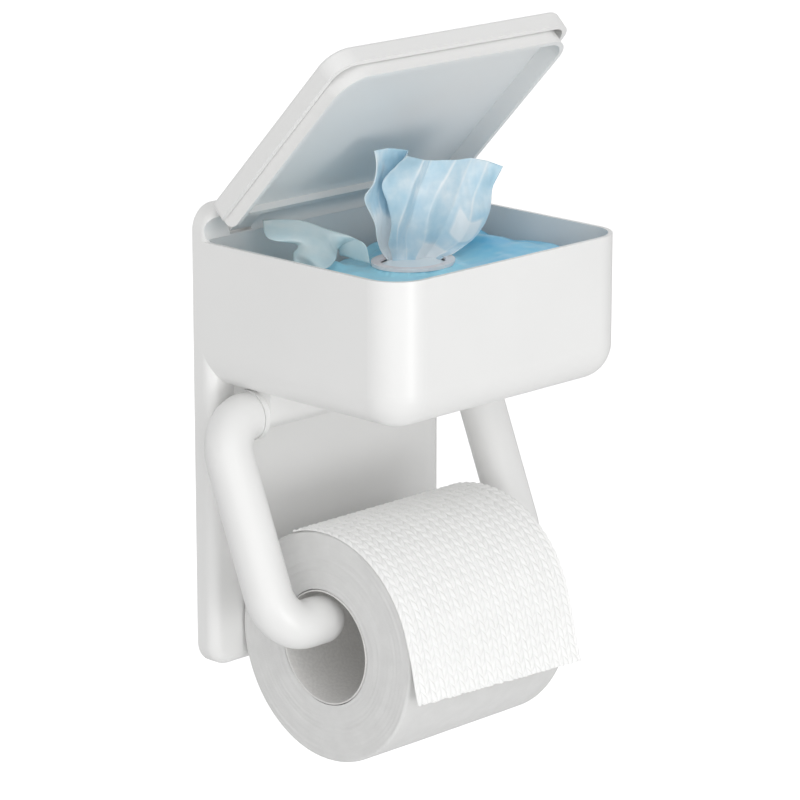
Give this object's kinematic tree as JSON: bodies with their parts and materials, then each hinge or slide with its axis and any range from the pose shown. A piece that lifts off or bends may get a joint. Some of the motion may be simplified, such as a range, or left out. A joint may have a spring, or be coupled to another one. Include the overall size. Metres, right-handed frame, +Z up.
{
  "type": "toilet paper holder with wipes box",
  "caption": "Wall-mounted toilet roll holder: white plate with a lidded tub of moist wipes and bent swing-up arms that carry the roll below it.",
  "frame": {"origin": "middle of the wall screws, on the wall, at the back of the plate", "axes": "+Y into the wall, -Y towards the user, +X to the right seen from the front, +Z up"},
  "size_m": [0.1746, 0.1223, 0.315],
  "materials": {
    "white_abs": "satin moulded",
    "steel": "satin",
    "rubber": "matte",
    "nylon": "matte moulded",
    "pouch_film": "glossy film",
    "label_film": "glossy film",
    "ring_plastic": "glossy moulded",
    "moist_wipe": "soft nonwoven",
    "grey_card": "matte card",
    "tissue": "matte embossed paper"
  },
  "bodies": {
    "housing": {"housing": "white_abs", "wall_bracket": "steel", "lock_screw": "steel", "wall_pads": "rubber", "arm_block": "white_abs", "block_screws": "steel", "left_collar": "white_abs", "right_collar": "white_abs", "stop_pin": "steel", "hinge_pins": "steel", "wipes_pouch": "pouch_film", "opening_ring": "ring_plastic", "wipe_stack": "moist_wipe", "label_flap": "label_film", "popped_wipe": "moist_wipe"},
    "lid": {"lid_shell": "white_abs", "lid_liner": "white_abs", "ear_bushes": "nylon"},
    "spindle": {"coupling_sleeve": "nylon", "left_spring": "steel", "right_spring": "steel"},
    "left_arm": {"left_arm": "white_abs", "left_shaft": "steel", "left_clip": "steel"},
    "right_arm": {"right_arm": "white_abs", "right_shaft": "steel", "right_clip": "steel"},
    "roll": {"paper_core": "grey_card", "paper_roll": "tissue"},
    "tail": {"tail_sheet": "tissue"}
  },
  "joints": [
    {"name": "lid_hinge", "type": "hinge", "parent": "housing", "child": "lid", "pos_m": [0, -0.0052, 0.094], "axis": [-1, 0, 0], "range_deg": [-46.3, 3.7], "deforming": ["popped_wipe"]},
    {"name": "arm_swing", "type": "hinge", "parent": "housing", "child": "spindle", "pos_m": [0, -0.0223, 0.0126], "axis": [-1, 0, 0], "range_deg": [0, 42]},
    {"name": "left_arm_pull", "type": "slide", "parent": "spindle", "child": "left_arm", "axis": [-1, 0, 0], "range_m": [0, 0.016], "stiffness_N_per_m": 250, "springref_m": -0.006, "deforming": ["left_spring"]},
    {"name": "right_arm_pull", "type": "slide", "parent": "spindle", "child": "right_arm", "axis": [1, 0, 0], "range_m": [0, 0.016], "stiffness_N_per_m": 250, "springref_m": -0.006, "deforming": ["right_spring"]},
    {"name": "roll_spin", "type": "hinge", "parent": "spindle", "child": "roll", "pos_m": [-0.0045, -0.0624, -0.084], "axis": [1, 0, 0], "continuous": true},
    {"name": "tail_hang", "type": "hinge", "parent": "spindle", "child": "tail", "pos_m": [-0.0045, -0.0624, -0.084], "axis": [1, 0, 0], "range_deg": [0, 42]}
  ],
  "couplings": [
    {"joint": "tail_hang", "follows": "arm_swing", "ratio": 1}
  ]
}
